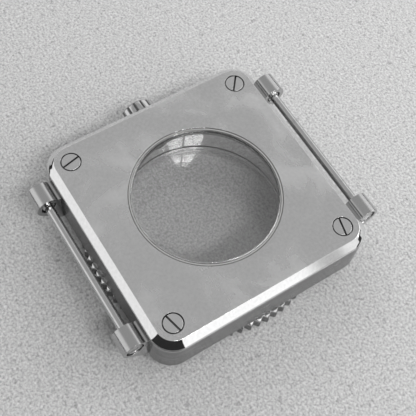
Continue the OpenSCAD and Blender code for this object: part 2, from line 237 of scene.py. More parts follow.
def polished_plate_steel(colour):
    """Stainless steel, machined and polished by hand: the bevel is a clear mirror, and the top
    carries the cloudy smudges and fine wiping lines that handling leaves."""
    material, tree, place = new_material("polished_stainless_steel_plate")
    axes = add_node(tree, "SeparateXYZ", {}, {"Vector": place})
    top = add_node(tree, "MapRange", {
        "interpolation_type": "SMOOTHSTEP", "From Min": PLATE_HIGH.z - 0.06 * MM,
        "From Max": PLATE_HIGH.z - 0.01 * MM}, {"Value": axes.outputs["Z"]})
    # Under the bevel, 1.15 mm high, the short side over the seam is painted darker: a painted dark
    # reflection of the shaded floor
    side = add_node(tree, "MapRange", {
        "interpolation_type": "SMOOTHSTEP", "From Min": PLATE_HIGH.z - 1.2 * MM,
        "From Max": PLATE_HIGH.z - 1.13 * MM, "To Min": 0.45, "To Max": 1.0}, {"Value": axes.outputs["Z"]})
    # Finger marks are 5 to 15 mm across
    turned = add_node(tree, "Mapping", {"Rotation": (0, 0, math.radians(30))}, {"Vector": place})
    mark = add_node(tree, "TexNoise", {"Scale": 0.1 / MM, "Detail": 4.0, "Distortion": 1.0}, {
        "Vector": turned})
    mark = add_node(tree, "MapRange", {
        "interpolation_type": "SMOOTHSTEP", "From Min": 0.32, "From Max": 0.72}, {"Value": mark})
    # A cloth leaves lines about 1 mm apart
    wiped = add_node(tree, "Mapping", {
        "Rotation": (0, 0, math.radians(38)), "Scale": (0.12, 1.6, 1)}, {"Vector": place})
    wipe = add_node(tree, "TexNoise", {"Scale": 0.7 / MM, "Detail": 3.0, "Distortion": 0.4}, {
        "Vector": wiped})
    wipe = add_node(tree, "MapRange", {"To Min": 0.35, "To Max": 1.0}, {"Value": wipe})
    film = add_node(tree, "Math", {"operation": "MULTIPLY"}, {0: mark, 1: wipe})
    film = add_node(tree, "Math", {"operation": "MULTIPLY"}, {0: film, 1: top})
    dull = add_node(tree, "MapRange", {"To Min": 1.0, "To Max": 0.94}, {"Value": film})
    # Painted shade darkens the 0.14 mm gap round each screw. The pattern is mirrored over both axes.
    mirrored = add_node(tree, "VectorMath", {"operation": "ABSOLUTE"}, {0: place})
    from_screw = distance_from_axis(tree, mirrored, SCREW_AT, "Z")
    clean_and_unshaded = add_node(tree, "MapRange", {
        "interpolation_type": "SMOOTHSTEP", "From Min": SCREW_R + 0.13 * MM,
        "From Max": SCREW_R + 0.2 * MM, "To Min": 0.2, "To Max": 1.0}, {"Value": from_screw})
    # The painted shade lies unevenly, in patches of about 2 mm
    uneven = add_node(tree, "TexNoise", {"Scale": 0.5 / MM, "Detail": 1.0}, {"Vector": place})
    uneven = add_node(tree, "MapRange", {
        "interpolation_type": "SMOOTHSTEP", "From Min": 0.4, "From Max": 0.58, "To Min": 0.15}, {
        "Value": uneven})
    clean_and_unshaded = add_node(tree, "Mix", {"data_type": "FLOAT", "A": 1.0}, {"Factor": uneven, "B": clean_and_unshaded})
    dull = add_node(tree, "Math", {"operation": "MULTIPLY"}, {0: dull, 1: clean_and_unshaded})
    dull = add_node(tree, "Math", {"operation": "MULTIPLY"}, {0: dull, 1: side})
    # Inside the outer radius of the crystal's seal, the milled seat under the crystal is drawn at 0.55 of
    # the tint
    seat = add_node(tree, "MapRange", {
        "interpolation_type": "SMOOTHSTEP", "From Min": SEAL_HIGH.x - 0.02 * MM,
        "From Max": SEAL_HIGH.x + 0.02 * MM, "To Min": 0.55, "To Max": 1.0}, {
        "Value": distance_from_axis(tree, place, (0, 0, 0), "Z")})
    dull = add_node(tree, "Math", {"operation": "MULTIPLY"}, {0: dull, 1: seat})
    # Fine dust, of grains about 0.5 mm apart
    dust = add_node(tree, "TexNoise", {"Scale": 2.0 / MM, "Detail": 3.0}, {"Vector": place})
    dust = add_node(tree, "MapRange", {"From Min": 0.3, "From Max": 0.7, "To Min": 0.96, "To Max": 1.04}, {
        "Value": dust})
    dull = add_node(tree, "Math", {"operation": "MULTIPLY"}, {0: dull, 1: dust})
    tint = add_node(tree, "VectorMath", {"operation": "SCALE", 0: colour}, {"Scale": dull})
    film_rough = add_node(tree, "MapRange", {"To Min": 0.14, "To Max": 0.46}, {"Value": film})
    rough = add_node(tree, "Mix", {"data_type": "FLOAT", "A": 0.06}, {"Factor": top, "B": film_rough})
    # The hand polish leaves waves about 6 mm long, and hairlines drawn 0.2 mm wide to show at all
    wave = add_node(tree, "TexNoise", {"Scale": 0.16 / MM, "Detail": 1.0}, {"Vector": place})
    wavy = add_node(tree, "Bump", {"Strength": 0.6, "Distance": 0.004 * MM}, {"Height": wave})
    lined = add_node(tree, "Mapping", {
        "Rotation": (0, 0, math.radians(12)), "Scale": (0.04, 1.6, 1)}, {"Vector": place})
    line = add_node(tree, "TexNoise", {"Scale": 3.0 / MM, "Detail": 2.0}, {"Vector": lined})
    fine = add_node(tree, "Bump", {"Strength": 0.5, "Distance": 0.0006 * MM}, {
        "Height": line, "Normal": wavy})
    steel = add_node(tree, "BsdfPrincipled", {"Metallic": 1.0}, {
        "Base Color": tint, "Roughness": rough, "Normal": fine})
    add_node(tree, "OutputMaterial", {}, {"Surface": steel})
    return material


def brushed_case_steel(colour):
    """Stainless steel, brushed along the sides, polished along the lugs and bored smooth inside: softly
    streaked sides painted dark as painted shade, crisp stripes along each lug, and a clear mirror inside
    painted brighter as a painted reflection."""
    material, tree, place = new_material("brushed_stainless_steel_case")
    axes = add_node(tree, "SeparateXYZ", {}, {"Vector": place})
    radius = distance_from_axis(tree, place, (0, 0, 0), "Z")
    # Brush lines are about 0.03 mm apart on the real thing, and are drawn 0.14 mm apart
    laid = add_node(tree, "Mapping", {"Scale": (0.015, 0.015, 1.4)}, {"Vector": place})
    line = add_node(tree, "TexNoise", {"Scale": 5.0 / MM, "Detail": 3.0}, {"Vector": laid})
    patch = add_node(tree, "TexNoise", {"Scale": 0.35 / MM, "Detail": 5.0}, {"Vector": place})
    side_rough = add_node(tree, "MapRange", {"To Min": 0.18, "To Max": 0.32}, {"Value": patch})
    # Beyond the sides come the lugs, whose polish has streaks along X, 0.3 mm apart
    reach = add_node(tree, "Math", {"operation": "ABSOLUTE"}, {0: axes.outputs["Y"]})
    lug = add_node(tree, "MapRange", {
        "interpolation_type": "SMOOTHSTEP", "From Min": HALF_W + 0.15 * MM,
        "From Max": HALF_W + 0.4 * MM}, {"Value": reach})
    drawn = add_node(tree, "Mapping", {"Scale": (0.06, 1.2, 1.2)}, {"Vector": place})
    streak = add_node(tree, "TexNoise", {"Scale": 2.5 / MM, "Detail": 3.0}, {"Vector": drawn})
    lug_rough = add_node(tree, "MapRange", {"To Min": 0.12, "To Max": 0.26}, {"Value": streak})
    rough = add_node(tree, "Mix", {"data_type": "FLOAT"}, {"Factor": lug, "A": side_rough, "B": lug_rough})
    bored = add_node(tree, "MapRange", {
        "interpolation_type": "SMOOTHSTEP", "From Min": BORED_R[0], "From Max": BORED_R[1],
        "To Min": 1.0, "To Max": 0.0}, {"Value": radius})
    rough = add_node(tree, "Mix", {"data_type": "FLOAT", "B": 0.025}, {"Factor": bored, "A": rough})
    brush_lines_and_painted_shade = add_node(tree, "MapRange", {
        "interpolation_type": "SMOOTHSTEP", "From Min": 0.4, "From Max": 0.7,
        "To Min": 0.52, "To Max": 0.34}, {"Value": line})
    # The brushed sides are painted darker than the lugs, as painted shade and a painted dark reflection of
    # the shaded floor, and the bored wall is painted brightest, as a painted reflection. The bump of the
    # brush lines fades out on the lugs and on the bored wall.
    plain = add_node(tree, "Math", {"operation": "MAXIMUM"}, {0: lug, 1: bored})
    # Handling leaves paler patches of about 3 mm on the sides, and the polished top edge is painted
    # brighter, as a painted highlight
    worn = add_node(tree, "MapRange", {"From Min": 0.35, "From Max": 0.65, "To Min": 0.86, "To Max": 1.2}, {
        "Value": patch})
    brush_lines_and_painted_shade = add_node(tree, "Math", {"operation": "MULTIPLY"}, {0: brush_lines_and_painted_shade, 1: worn})
    rim = add_node(tree, "MapRange", {
        "interpolation_type": "SMOOTHSTEP", "From Min": MIDDLE_HIGH.z - 0.48 * MM,
        "From Max": MIDDLE_HIGH.z - 0.4 * MM}, {"Value": axes.outputs["Z"]})
    brush_lines_and_painted_shade = add_node(tree, "Mix", {"data_type": "FLOAT", "B": 1.3}, {"Factor": rim, "A": brush_lines_and_painted_shade})
    bright = add_node(tree, "Mix", {"data_type": "FLOAT", "B": 1.0}, {"Factor": lug, "A": brush_lines_and_painted_shade})
    bright = add_node(tree, "Mix", {"data_type": "FLOAT", "B": 1.3}, {"Factor": bored, "A": bright})
    tint = add_node(tree, "VectorMath", {"operation": "SCALE", 0: colour}, {"Scale": bright})
    depth = add_node(tree, "MapRange", {"To Min": 0.8, "To Max": 0.0}, {"Value": plain})
    brushed = add_node(tree, "Bump", {"Distance": 0.0015 * MM}, {"Height": line, "Strength": depth})
    # The collar inside the back ring carries the thread that the ring turns on
    low = add_node(tree, "MapRange", {
        "interpolation_type": "SMOOTHSTEP", "From Min": COLLAR_TOP[0], "From Max": COLLAR_TOP[1],
        "To Min": 1.0, "To Max": 0.0}, {"Value": axes.outputs["Z"]})
    outer = add_node(tree, "MapRange", {
        "interpolation_type": "SMOOTHSTEP", "From Min": COLLAR_R[0], "From Max": COLLAR_R[1]}, {
        "Value": radius})
    collar = add_node(tree, "Math", {"operation": "MULTIPLY"}, {0: low, 1: outer})
    phase = add_node(tree, "Math", {"operation": "MULTIPLY", 1: 2 * math.pi / THREAD_PITCH}, {
        0: axes.outputs["Z"]})
    ridge = add_node(tree, "Math", {"operation": "SINE"}, {0: phase})
    ridge = add_node(tree, "Math", {"operation": "MULTIPLY"}, {0: ridge, 1: collar})
    threaded = add_node(tree, "Bump", {"Strength": 1.0, "Distance": 0.06 * MM}, {
        "Height": ridge, "Normal": brushed})
    steel = add_node(tree, "BsdfPrincipled", {"Metallic": 1.0}, {
        "Base Color": tint, "Roughness": rough, "Normal": threaded})
    add_node(tree, "OutputMaterial", {}, {"Surface": steel})
    return material


def turned_tube_steel(colour):
    """Stainless steel turned on a lathe along the crown's axis and polished: crisp highlights over
    fine rings."""
    material, tree, place = new_material("turned_stainless_steel_crown_tube")
    axes = add_node(tree, "SeparateXYZ", {}, {"Vector": place})
    radius = distance_from_axis(tree, place, (0, 0, CROWN_Z), "X")
    travel = add_node(tree, "Math", {"operation": "ADD"}, {0: radius, 1: axes.outputs["X"]})
    phase = add_node(tree, "Math", {"operation": "MULTIPLY", 1: 2 * math.pi / TUBE_RING_PITCH}, {0: travel})
    ring = add_node(tree, "Math", {"operation": "SINE"}, {0: phase})
    # Handling clouds the polish in patches of about 1 mm
    cloud = add_node(tree, "TexNoise", {"Scale": 0.8 / MM, "Detail": 3.0}, {"Vector": place})
    rough = add_node(tree, "MapRange", {"To Min": 0.18, "To Max": 0.3}, {"Value": cloud})
    dull = add_node(tree, "MapRange", {
        "interpolation_type": "SMOOTHSTEP", "From Min": 0.5, "From Max": 0.75,
        "To Min": 1.0, "To Max": 0.85}, {"Value": cloud})
    tint = add_node(tree, "VectorMath", {"operation": "SCALE", 0: colour}, {"Scale": dull})
    turned = add_node(tree, "Bump", {"Strength": 0.5, "Distance": 0.0008 * MM}, {"Height": ring})
    steel = add_node(tree, "BsdfPrincipled", {"Metallic": 1.0}, {
        "Base Color": tint, "Roughness": rough, "Normal": turned})
    add_node(tree, "OutputMaterial", {}, {"Surface": steel})
    return material


def slotted_screw_steel(name, colour, head, outward, radius, rim_width):
    """Stainless steel screw, turned and polished: a grey face with fine rings, and painted shade in the slot
    and round the rim, where the surface is also rougher. head is the middle of its face, and outward the way
    it faces."""
    material, tree, place = new_material(name)
    across = distance_from_axis(tree, place, head, "X" if outward.x else "Z")
    rim = add_node(tree, "MapRange", {
        "interpolation_type": "SMOOTHSTEP", "From Min": radius - rim_width,
        "From Max": radius - rim_width * 0.4}, {"Value": across})
    moved = add_node(tree, "VectorMath", {"operation": "SUBTRACT", 1: head}, {0: place})
    height = add_node(tree, "VectorMath", {"operation": "DOT_PRODUCT", 1: outward}, {0: moved})
    sunk = add_node(tree, "MapRange", {
        "interpolation_type": "SMOOTHSTEP", "From Min": -0.12 * MM, "From Max": -0.05 * MM,
        "To Min": 1.0, "To Max": 0.0}, {"Value": height.outputs["Value"]})
    # Painted shade in the slot and in the gap round the rim, which are also made rougher
    painted_shade_mask = add_node(tree, "Math", {"operation": "MAXIMUM"}, {0: rim, 1: sunk})
    clean_and_unshaded = add_node(tree, "MapRange", {"To Min": 1.0, "To Max": 0.15}, {"Value": painted_shade_mask})
    tint = add_node(tree, "VectorMath", {"operation": "SCALE", 0: colour}, {"Scale": clean_and_unshaded})
    phase = add_node(tree, "Math", {"operation": "MULTIPLY", 1: 2 * math.pi / SCREW_RING_PITCH}, {0: across})
    ring = add_node(tree, "Math", {"operation": "SINE"}, {0: phase})
    cloud = add_node(tree, "TexNoise", {"Scale": 0.8 / MM, "Detail": 3.0}, {"Vector": place})
    face = add_node(tree, "MapRange", {"To Min": 0.12, "To Max": 0.24}, {"Value": cloud})
    rough = add_node(tree, "Mix", {"data_type": "FLOAT", "B": 0.6}, {"Factor": painted_shade_mask, "A": face})
    turned = add_node(tree, "Bump", {"Strength": 0.4, "Distance": 0.0008 * MM}, {"Height": ring})
    steel = add_node(tree, "BsdfPrincipled", {"Metallic": 1.0}, {
        "Base Color": tint, "Roughness": rough, "Normal": turned})
    add_node(tree, "OutputMaterial", {}, {"Surface": steel})
    return material


def drawn_bar_steel(colour):
    """Stainless steel rod, drawn and polished lengthwise: crisp stripes along each bar, with faint
    streaks in them."""
    material, tree, place = new_material("drawn_polished_stainless_steel_bar")
    # Streaks are about 0.1 mm wide on the real thing, and are drawn 0.25 mm wide
    drawn = add_node(tree, "Mapping", {"Scale": (0.04, 1, 1)}, {"Vector": place})
    streak = add_node(tree, "TexNoise", {"Scale": 4.0 / MM, "Detail": 2.0}, {"Vector": drawn})
    rough = add_node(tree, "MapRange", {"To Min": 0.1, "To Max": 0.18}, {"Value": streak})
    # Handling clouds the polish in patches of about 1 mm
    cloud = add_node(tree, "TexNoise", {"Scale": 0.8 / MM, "Detail": 3.0}, {"Vector": place})
    dull = add_node(tree, "MapRange", {
        "interpolation_type": "SMOOTHSTEP", "From Min": 0.5, "From Max": 0.75,
        "To Min": 1.0, "To Max": 0.88}, {"Value": cloud})
    tint = add_node(tree, "VectorMath", {"operation": "SCALE", 0: colour}, {"Scale": dull})
    fine = add_node(tree, "Bump", {"Strength": 0.4, "Distance": 0.0006 * MM}, {"Height": streak})
    steel = add_node(tree, "BsdfPrincipled", {"Metallic": 1.0}, {
        "Base Color": tint, "Roughness": rough, "Normal": fine})
    add_node(tree, "OutputMaterial", {}, {"Surface": steel})
    return material


def polished_crown_steel(colour):
    """Stainless steel crown, turned, fluted and polished: bright ridges, and flutes where a thumb doesn't
    rub, which a dull film makes rougher and which are painted dark as painted shade."""
    material, tree, place = new_material("polished_fluted_stainless_steel_crown")
    axes = add_node(tree, "SeparateXYZ", {}, {"Vector": place})
    radius = distance_from_axis(tree, place, (0, 0, CROWN_Z), "X")
    # The flutes reach 0.23 mm in from the rim
    flute = add_node(tree, "MapRange", {
        "interpolation_type": "SMOOTHSTEP", "From Min": CROWN_R - 0.2 * MM, "From Max": CROWN_R - 0.04 * MM,
        "To Min": 1.0, "To Max": 0.0}, {"Value": radius})
    side = add_node(tree, "MapRange", {
        "interpolation_type": "SMOOTHSTEP", "From Min": CROWN_HIGH.x - 0.3 * MM,
        "From Max": CROWN_HIGH.x - 0.05 * MM, "To Min": 1.0, "To Max": 0.0}, {"Value": axes.outputs["X"]})
    film = add_node(tree, "Math", {"operation": "MULTIPLY"}, {0: flute, 1: side})
    # The flutes are painted dark, as painted shade; the film also makes them rougher
    dull = add_node(tree, "MapRange", {"To Min": 1.0, "To Max": 0.2}, {"Value": film})
    tint = add_node(tree, "VectorMath", {"operation": "SCALE", 0: colour}, {"Scale": dull})
    # Wear leaves marks of about 0.4 mm
    grain = add_node(tree, "TexNoise", {"Scale": 2.5 / MM, "Detail": 3.0}, {"Vector": place})
    clean_and_unshaded = add_node(tree, "MapRange", {"To Min": 0.06, "To Max": 0.16}, {"Value": grain})
    rough = add_node(tree, "Mix", {"data_type": "FLOAT", "B": 0.36}, {"Factor": film, "A": clean_and_unshaded})
    fine = add_node(tree, "Bump", {"Strength": 0.5, "Distance": 0.0008 * MM}, {"Height": grain})
    steel = add_node(tree, "BsdfPrincipled", {"Metallic": 1.0}, {
        "Base Color": tint, "Roughness": rough, "Normal": fine})
    add_node(tree, "OutputMaterial", {}, {"Surface": steel})
    return material


def machined_back_steel(name, colour, painted_shade_top):
    """Stainless steel case back, milled and polished: bright sloping faces on the teeth and faint cutter
    rings on the flat faces. Round the edge, the sides of the teeth below a given height are painted darker,
    as painted shade."""
    material, tree, place = new_material(name)
    axes = add_node(tree, "SeparateXYZ", {}, {"Vector": place})
    radius = distance_from_axis(tree, place, (0, 0, 0), "Z")
    low = add_node(tree, "MapRange", {
        "interpolation_type": "SMOOTHSTEP", "From Min": painted_shade_top - 0.1 * MM, "From Max": painted_shade_top,
        "To Min": 1.0, "To Max": 0.0}, {"Value": axes.outputs["Z"]})
    outer = add_node(tree, "MapRange", {
        "interpolation_type": "SMOOTHSTEP", "From Min": TEETH_R[0], "From Max": TEETH_R[1]}, {
        "Value": radius})
    raised = add_node(tree, "MapRange", {
        "interpolation_type": "SMOOTHSTEP", "From Min": TEETH_FOOT[0], "From Max": TEETH_FOOT[1]}, {
        "Value": axes.outputs["Z"]})
    # Painted shade on the sides of the teeth round the edge
    painted_shade_mask = add_node(tree, "Math", {"operation": "MULTIPLY"}, {0: low, 1: outer})
    painted_shade_mask = add_node(tree, "Math", {"operation": "MULTIPLY"}, {0: painted_shade_mask, 1: raised})
    clean_and_unshaded = add_node(tree, "MapRange", {"To Min": 1.0, "To Max": 0.3}, {"Value": painted_shade_mask})
    phase = add_node(tree, "Math", {"operation": "MULTIPLY", 1: 2 * math.pi / BACK_RING_PITCH}, {0: radius})
    ring = add_node(tree, "Math", {"operation": "SINE"}, {0: phase})
    cut = add_node(tree, "Bump", {"Strength": 0.5, "Distance": 0.0008 * MM}, {"Height": ring})
    # Wear leaves marks of about 0.2 mm
    grit = add_node(tree, "TexNoise", {"Scale": 5.0 / MM, "Detail": 4.0}, {"Vector": place})
    pitted = add_node(tree, "Bump", {"Strength": 0.5, "Distance": 0.001 * MM}, {
        "Height": grit, "Normal": cut})
    rough = add_node(tree, "MapRange", {"To Min": 0.08, "To Max": 0.2}, {"Value": grit})
    # Stains are about 3 mm across
    stain = add_node(tree, "TexNoise", {"Scale": 0.3 / MM, "Detail": 4.0}, {"Vector": place})
    dull = add_node(tree, "MapRange", {
        "interpolation_type": "SMOOTHSTEP", "From Min": 0.45, "From Max": 0.7,
        "To Min": 1.0, "To Max": 0.85}, {"Value": stain})
    dull = add_node(tree, "Math", {"operation": "MULTIPLY"}, {0: dull, 1: clean_and_unshaded})
    tint = add_node(tree, "VectorMath", {"operation": "SCALE", 0: colour}, {"Scale": dull})
    steel = add_node(tree, "BsdfPrincipled", {"Metallic": 1.0}, {
        "Base Color": tint, "Roughness": rough, "Normal": pitted})
    add_node(tree, "OutputMaterial", {}, {"Surface": steel})
    return material


def clear_glass(name, ior, tint):
    """Ground and polished glass: nearly invisible face on, with a thin bright line at its bevel and
    a few faint wiping streaks. Lamp light passes straight through, as through thin flat glass."""
    material, tree, place = new_material(name)
    # Wiping streaks are about 3 mm wide and 13 mm long
    wiped = add_node(tree, "Mapping", {
        "Rotation": (0, 0, math.radians(35)), "Scale": (0.3, 1.4, 1)}, {"Vector": place})
    wipe = add_node(tree, "TexNoise", {"Scale": 0.25 / MM, "Detail": 4.0, "Distortion": 0.8}, {
        "Vector": wiped})
    rough = add_node(tree, "MapRange", {"From Min": 0.5, "From Max": 0.8, "To Max": 0.01}, {"Value": wipe})
    glass = add_node(tree, "BsdfPrincipled", {
        "Base Color": tint, "Transmission Weight": 1.0, "IOR": ior}, {"Roughness": rough})
    passing = add_node(tree, "BsdfTransparent", {"Color": tint})
    ray = add_node(tree, "LightPath")
    lamp_ray = add_node(tree, "Math", {"operation": "MAXIMUM"}, {
        0: ray.outputs["Is Shadow Ray"], 1: ray.outputs["Is Diffuse Ray"]})
    mix = add_node(tree, "MixShader", {}, {"Fac": lamp_ray, 1: glass, 2: passing})
    add_node(tree, "OutputMaterial", {}, {"Surface": mix})
    return material


def moulded_seal(name, colour, rough, grain_mm, rims=None):
    """Moulded nylon or nitrile rubber: a soft sheen over a faint moulding grain. Where rims gives the inner
    and outer radius of a seal, painted shade draws a dark line along each, where the seal meets the parts
    beside it."""
    material, tree, place = new_material(name)
    grain = add_node(tree, "TexNoise", {"Scale": 1 / (grain_mm * MM), "Detail": 3.0}, {"Vector": place})
    dull = add_node(tree, "MapRange", {
        "interpolation_type": "SMOOTHSTEP", "From Min": 0.45, "From Max": 0.75,
        "To Min": 1.0, "To Max": 0.85}, {"Value": grain})
    if rims:
        # Painted shade: a dark line along the inner and the outer rim, where the seal meets the crystal and
        # the plate
        radius = distance_from_axis(tree, place, (0, 0, 0), "Z")
        inner = add_node(tree, "MapRange", {
            "interpolation_type": "SMOOTHSTEP", "From Min": rims[0] + 0.04 * MM,
            "From Max": rims[0] + 0.12 * MM, "To Min": 0.5, "To Max": 1.0}, {"Value": radius})
        outer = add_node(tree, "MapRange", {
            "interpolation_type": "SMOOTHSTEP", "From Min": rims[1] - 0.2 * MM,
            "From Max": rims[1] - 0.1 * MM, "To Min": 1.0, "To Max": 0.25}, {"Value": radius})
        dull = add_node(tree, "Math", {"operation": "MULTIPLY"}, {0: dull, 1: inner})
        dull = add_node(tree, "Math", {"operation": "MULTIPLY"}, {0: dull, 1: outer})
    tint = add_node(tree, "VectorMath", {"operation": "SCALE", 0: colour}, {"Scale": dull})
    sheen = add_node(tree, "MapRange", {"To Min": rough - 0.06, "To Max": rough + 0.06}, {"Value": grain})
    raised = add_node(tree, "Bump", {"Strength": 0.5, "Distance": 0.004 * MM}, {"Height": grain})
    plastic = add_node(tree, "BsdfPrincipled", {"IOR": 1.5}, {
        "Base Color": tint, "Roughness": sheen, "Normal": raised})
    add_node(tree, "OutputMaterial", {}, {"Surface": plastic})
    return material


def cast_floor(colour):
    """Pale cast floor with a fine, matt grain."""
    material, tree, place = new_material("pale_matt_cast_floor")
    # Grains are about 0.4 mm across, and a few dark pits about 1 mm
    grain = add_node(tree, "TexNoise", {"Scale": 2.4 / MM, "Detail": 3.0, "Roughness": 0.7}, {
        "Vector": place})
    speck = add_node(tree, "TexNoise", {"Scale": 1.0 / MM, "Detail": 3.0}, {"Vector": place})
    pale = add_node(tree, "MapRange", {"From Min": 0.3, "From Max": 0.7, "To Min": 0.58, "To Max": 1.42}, {
        "Value": grain})
    dull = add_node(tree, "MapRange", {
        "interpolation_type": "SMOOTHSTEP", "From Min": 0.3, "From Max": 0.42,
        "To Min": 0.72, "To Max": 1.0}, {"Value": speck})
    dull = add_node(tree, "Math", {"operation": "MULTIPLY"}, {0: dull, 1: pale})
    tint = add_node(tree, "VectorMath", {"operation": "SCALE", 0: colour}, {"Scale": dull})
    raised = add_node(tree, "Bump", {"Strength": 0.6, "Distance": 0.12 * MM}, {"Height": grain})
    stone = add_node(tree, "BsdfPrincipled", {"IOR": 1.45, "Roughness": 0.75}, {
        "Base Color": tint, "Normal": raised})
    add_node(tree, "OutputMaterial", {}, {"Surface": stone})
    return material


def matt_black_card():
    """Black card, which steel shows as a dark shape and which gives no gloss of its own."""
    material, tree, place = new_material("matt_black_card")
    # Fibres are about 0.7 mm across
    fibre = add_node(tree, "TexNoise", {"Scale": 1.5 / MM, "Detail": 3.0}, {"Vector": place})
    shade = add_node(tree, "MapRange", {"To Min": 0.8, "To Max": 1.2}, {"Value": fibre})
    tint = add_node(tree, "VectorMath", {"operation": "SCALE", 0: rgb("#242424")}, {"Scale": shade})
    card = add_node(tree, "BsdfPrincipled", {"Roughness": 0.9}, {"Base Color": tint})
    add_node(tree, "OutputMaterial", {}, {"Surface": card})
    return material


def finish(node, material, edge):
    """Gives a solid of the frame its material and polished edges. Its mesh stays as it is."""
    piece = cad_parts[node]
    for slot in piece.material_slots:
        slot.material = material
    if not piece.material_slots:
        piece.data.materials.append(material)
    if edge <= 0:
        return
    weld = piece.modifiers.new("Join triangles", "WELD")
    weld.merge_threshold = WELD_DISTANCE
    flat = piece.modifiers.new("Clean flats", "DECIMATE")
    flat.decimate_type = "DISSOLVE"
    flat.angle_limit = math.radians(0.3)
    # Only edges sharper than 32 degrees are rounded, so the facets of a curve stay as they are
    soft = piece.modifiers.new("Polished edges", "BEVEL")
    soft.width = edge
    soft.segments = 2
    soft.limit_method = "ANGLE"
    soft.angle_limit = math.radians(32)
    soft.use_clamp_overlap = False
    soft.miter_outer = "MITER_ARC"
    soft.harden_normals = False
    even = piece.modifiers.new("Even shading", "WEIGHTED_NORMAL")
    even.weight = 50
    even.keep_sharp = False


def moulded_ring(name, replaced, body, material, along):
    """A seal ring with a rounded section, in the place of the plain one."""
    low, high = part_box(replaced)
    middle = (low + high) / 2
    axis = Vector((1, 0, 0)) if along == "X" else Vector((0, 0, 1))
    side = Vector((0, 0, 1)) if along == "X" else Vector((1, 0, 0))
    height = (high - low).dot(axis)
    outer = (high - low).dot(side) / 2
    inner = outer
    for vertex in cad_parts[replaced].data.vertices:
        place = vertex.co - middle
        inner = min(inner, (place - axis * place.dot(axis)).length)
    width = outer - inner
    rim = middle + side * (inner + outer) / 2
    mesh = bmesh.new()
    corners = []
    for across, up in ((-0.5, -0.5), (0.5, -0.5), (0.5, 0.5), (-0.5, 0.5)):
        corners.append(mesh.verts.new(rim + side * width * across + axis * height * up))
    mesh.faces.new(corners)
    bmesh.ops.bevel(mesh, geom=corners, offset=min(width, height) * SEAL_ROUNDING, offset_type="OFFSET",
                    segments=4, profile=0.5, affect="VERTICES", material=-1)
    edges = list(mesh.edges)
    for face in list(mesh.faces):
        mesh.faces.remove(face)
    bmesh.ops.spin(mesh, geom=edges, cent=middle, axis=axis, dvec=(0, 0, 0), angle=2 * math.pi,
                   steps=SEAL_STEPS, use_merge=True, use_duplicate=False)
    bmesh.ops.remove_doubles(mesh, verts=mesh.verts, dist=WELD_DISTANCE)
    bmesh.ops.recalc_face_normals(mesh, faces=mesh.faces)
    for face in mesh.faces:
        face.smooth = True
    data = bpy.data.meshes.new(name)
    mesh.to_mesh(data)
    mesh.free()
    piece = bpy.data.objects.new(name, data)
    bpy.context.scene.collection.objects.link(piece)
    data.materials.append(material)
    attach(piece, body)
    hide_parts(replaced)


class WATCHCASE_OT_case_middle(bpy.types.Operator):
    """Finish the case middle with its lugs"""

    bl_idname = "watchcase.case_middle"
    bl_label = "Case middle"

    def execute(self, context):
        look = context.scene.watchcase_finishes
        finish("case_middle", brushed_case_steel(tuple(look.case_colour)), look.edge_width)
        return {"FINISHED"}


class WATCHCASE_OT_bezel(bpy.types.Operator):
    """Finish the bezel plate, its screws and its seal"""

    bl_idname = "watchcase.bezel"
    bl_label = "Bezel plate and screws"

    def execute(self, context):
        look = context.scene.watchcase_finishes
        finish("bezel_plate", polished_plate_steel(tuple(look.plate_colour)), look.edge_width)
        for spot in ("upper_right", "lower_right", "lower_left", "upper_left"):
            name = "bezel_screw_" + spot
            low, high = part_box(name)
            head = Vector(((low.x + high.x) / 2, (low.y + high.y) / 2, high.z))
            steel = slotted_screw_steel("polished_steel_" + name, tuple(look.plate_colour), head,
                                        outward=Vector((0, 0, 1)), radius=(high.x - low.x) / 2,
                                        rim_width=0.1 * MM)
            finish(name, steel, look.edge_width * SMALL_EDGE)
        rubber = moulded_seal("moulded_nitrile_rubber_bezel_seal", tuple(look.rubber_colour),
                              rough=0.55, grain_mm=0.15)
        moulded_ring("bezel_seal", "bezel_gasket", "case", rubber, "Z")
        return {"FINISHED"}


class WATCHCASE_OT_crystal(bpy.types.Operator):
    """Finish the crystal and the nylon ring round it"""

    bl_idname = "watchcase.crystal"
    bl_label = "Crystal and its seal"

    def execute(self, context):
        look = context.scene.watchcase_finishes
        sapphire = clear_glass("polished_sapphire_crystal", ior=1.77, tint=linear("#fafafa"))
        finish("crystal", sapphire, look.edge_width)
        nylon = moulded_seal("moulded_nylon_crystal_seal", tuple(look.seal_colour),
                             rough=0.42, grain_mm=0.2, rims=(CRYSTAL_R, SEAL_HIGH.x))
        finish("crystal_gasket", nylon, look.edge_width)
        return {"FINISHED"}


class WATCHCASE_OT_crown(bpy.types.Operator):
    """Finish the crown, its tube, pipe, washer and seal"""

    bl_idname = "watchcase.crown"
    bl_label = "Crown"

    def execute(self, context):
        look = context.scene.watchcase_finishes
        finish("crown_cap", polished_crown_steel(tuple(look.trim_colour)), look.edge_width)
        steel = turned_tube_steel(tuple(look.trim_colour))
        for name in ("crown_tube", "crown_pipe", "crown_washer"):
            finish(name, steel, look.edge_width * TUBE_EDGE)
        rubber = moulded_seal("moulded_nitrile_rubber_crown_seal", tuple(look.rubber_colour),
                              rough=0.5, grain_mm=0.12)
        moulded_ring("crown_seal_ring", "crown_gasket", "crown_seal", rubber, "X")
        return {"FINISHED"}


